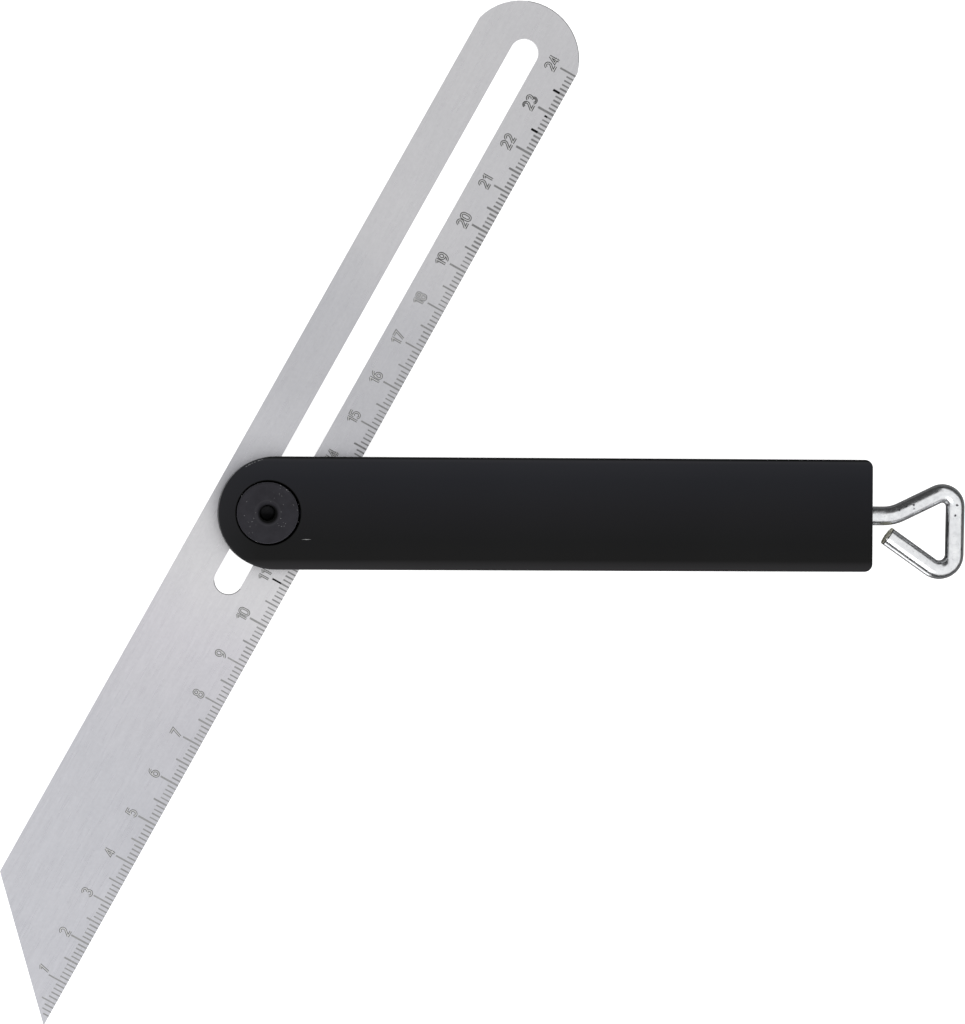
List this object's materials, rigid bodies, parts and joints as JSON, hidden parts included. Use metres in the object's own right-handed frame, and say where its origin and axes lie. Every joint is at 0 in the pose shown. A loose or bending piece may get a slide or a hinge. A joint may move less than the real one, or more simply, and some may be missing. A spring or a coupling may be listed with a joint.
{
  "type": "adjustable set square",
  "caption": "Sliding bevel set square: slotted graduated steel blade that swings and slides in a two-part moulded handle, clamped by a bent wire key at the butt.",
  "frame": {"origin": "pivot axis of the blade, in the plane of the handle's back face", "axes": "+X along the handle from the pivot to the butt, +Y across the handle towards the blade's round end at rest, +Z from the back face to the front face"},
  "size_m": [0.2132, 0.227, 0.018],
  "materials": {
    "handle_plastic": "satin moulded",
    "blade_steel": "fine brushed",
    "disc_steel": "black oxide",
    "plunger_steel": "turned",
    "block_brass": "machined",
    "key_steel": "bright zinc plated",
    "screw_steel": "dark plated"
  },
  "bodies": {
    "handle": {"handle_front_half": "handle_plastic", "handle_back_half": "handle_plastic", "handle_screws": "screw_steel", "thread_block": "block_brass"},
    "pivot": {"pivot_stud": "disc_steel", "front_disc": "disc_steel", "back_disc": "disc_steel"},
    "clamp": {"clamp_disc": "disc_steel"},
    "blade": {"blade": "blade_steel"},
    "plunger": {"wedge_plunger": "plunger_steel"},
    "key": {"lock_key": "key_steel", "retaining_ring": "plunger_steel"}
  },
  "joints": [
    {"name": "blade_swing", "type": "hinge", "parent": "handle", "child": "pivot", "pos_m": [0, 0, 0.0075], "axis": [0, 0, 1], "range_deg": [-229, 107]},
    {"name": "blade_slide", "type": "slide", "parent": "pivot", "child": "blade", "axis": [-0.4848, -0.8746, 0], "range_m": [0, 0.1155]},
    {"name": "clamp_lift", "type": "slide", "parent": "pivot", "child": "clamp", "axis": [0, 0, 1], "range_m": [0, 0.0002]},
    {"name": "key_travel", "type": "slide", "parent": "handle", "child": "plunger", "axis": [1, 0, 0], "range_m": [0, 0.00105]},
    {"name": "key_turn", "type": "hinge", "parent": "plunger", "child": "key", "pos_m": [0.1337, 0, 0.01325], "axis": [1, 0, 0], "range_deg": [0, 540]}
  ],
  "couplings": [
    {"joint": "key_turn", "follows": "key_travel", "rad_per_m": 8975.1},
    {"joint": "clamp_lift", "follows": "key_travel", "ratio": 0.19046}
  ]
}
